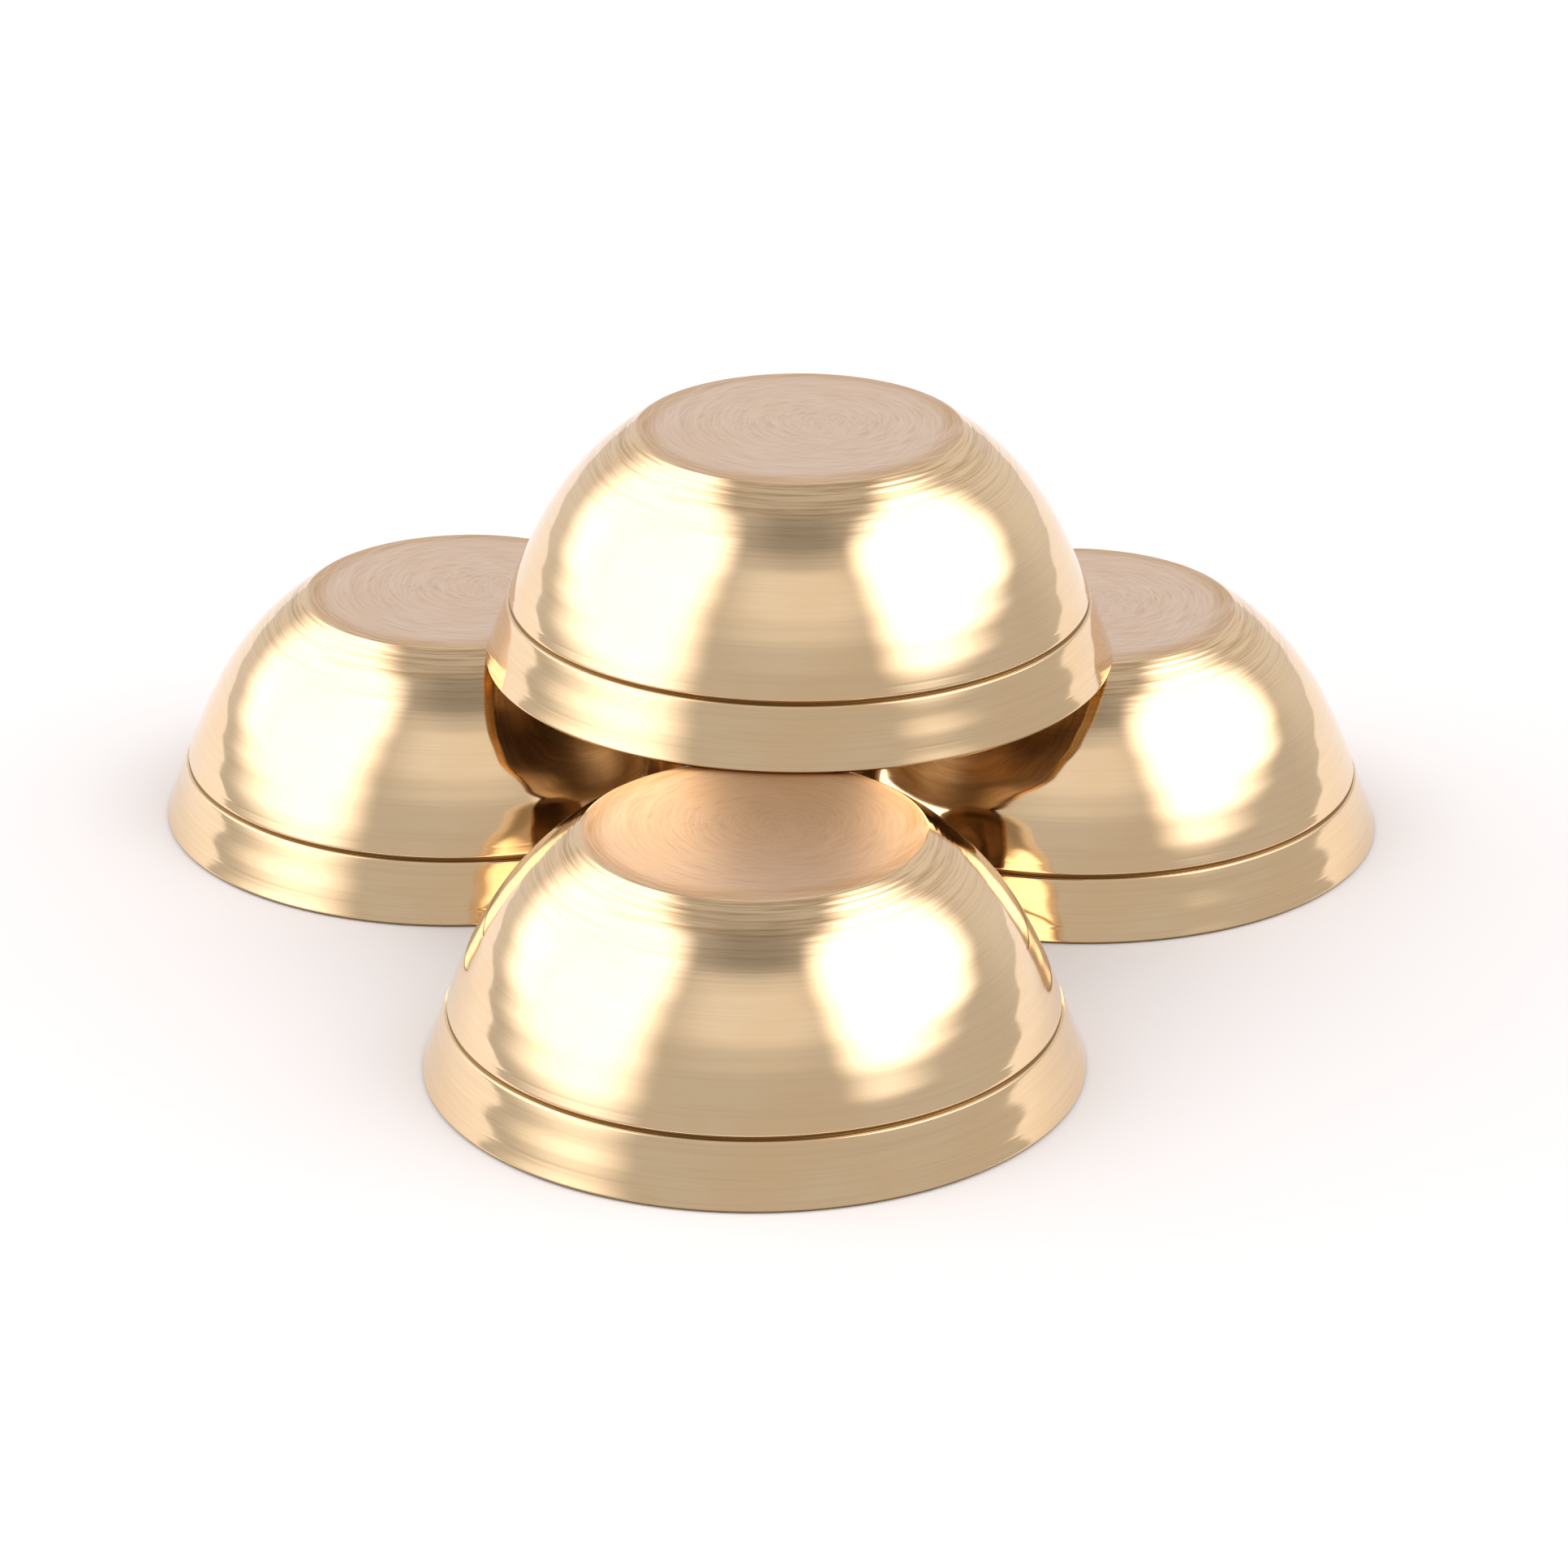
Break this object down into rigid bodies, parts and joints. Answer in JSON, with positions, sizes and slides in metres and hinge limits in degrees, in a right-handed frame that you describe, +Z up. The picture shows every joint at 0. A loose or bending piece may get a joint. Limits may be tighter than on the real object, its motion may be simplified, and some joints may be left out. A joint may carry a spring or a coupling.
{
  "type": "finger cymbals",
  "caption": "Small turned brass finger cymbals, plain cups with a flat closed base and a scored line above the lip, piled with one standing on the bases of the others.",
  "frame": {"origin": "middle of the pile's box, on the surface that the three lower cymbals stand on", "axes": "+Z up, out of the flat base of the top cymbal; -Y towards the person who faces the single front cymbal; +X to that person's right, from the left cymbal to the right one"},
  "size_m": [0.1202, 0.1184, 0.0458],
  "materials": {
    "turned_brass": "polished wall with fine turning lines, satin turned base"
  },
  "bodies": {
    "front": {"front_cymbal": "turned_brass"},
    "left": {"left_cymbal": "turned_brass"},
    "right": {"right_cymbal": "turned_brass"},
    "top": {"top_cymbal": "turned_brass"}
  },
  "joints": [
    {"name": "top_lift", "type": "slide", "parent": "front", "child": "top", "axis": [0, 0, 1], "range_m": [0, 0.06]},
    {"name": "left_slide", "type": "slide", "parent": "front", "child": "left", "axis": [-1, 0, 0], "range_m": [0, 0.06]},
    {"name": "right_slide", "type": "slide", "parent": "front", "child": "right", "axis": [1, 0, 0], "range_m": [0, 0.06]}
  ]
}
